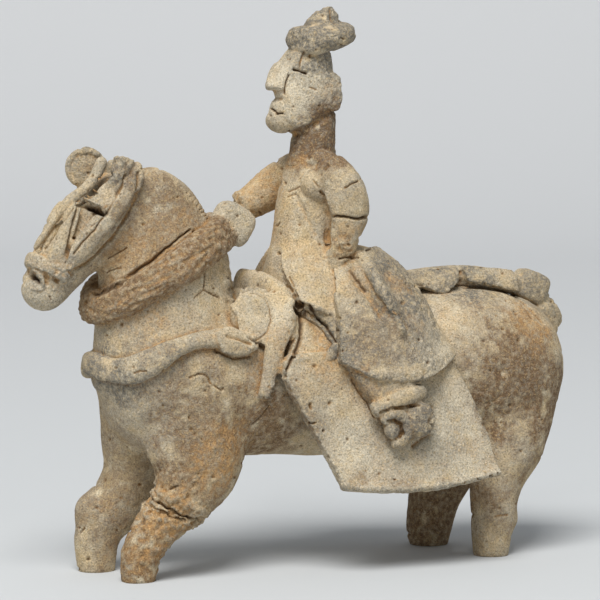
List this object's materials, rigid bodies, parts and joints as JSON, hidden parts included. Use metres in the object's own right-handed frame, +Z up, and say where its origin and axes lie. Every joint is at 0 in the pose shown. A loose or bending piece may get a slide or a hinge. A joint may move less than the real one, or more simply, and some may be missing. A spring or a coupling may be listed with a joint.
{
  "type": "pottery figure of a rider on a horse",
  "caption": "Hand-modelled fired clay figure of a rider seated on a harnessed horse, standing on its four feet, worn and partly broken.",
  "frame": {"origin": "centre of the figure's bounding box, on the ground that its feet stand on", "axes": "+Z up, the horse looks along -X, and its left side is -Y"},
  "size_m": [0.161, 0.0649, 0.1498],
  "materials": {
    "fired_clay": "matt unglazed fired clay"
  },
  "bodies": {
    "root": {"horse_and_rider": "fired_clay"}
  },
  "joints": []
}
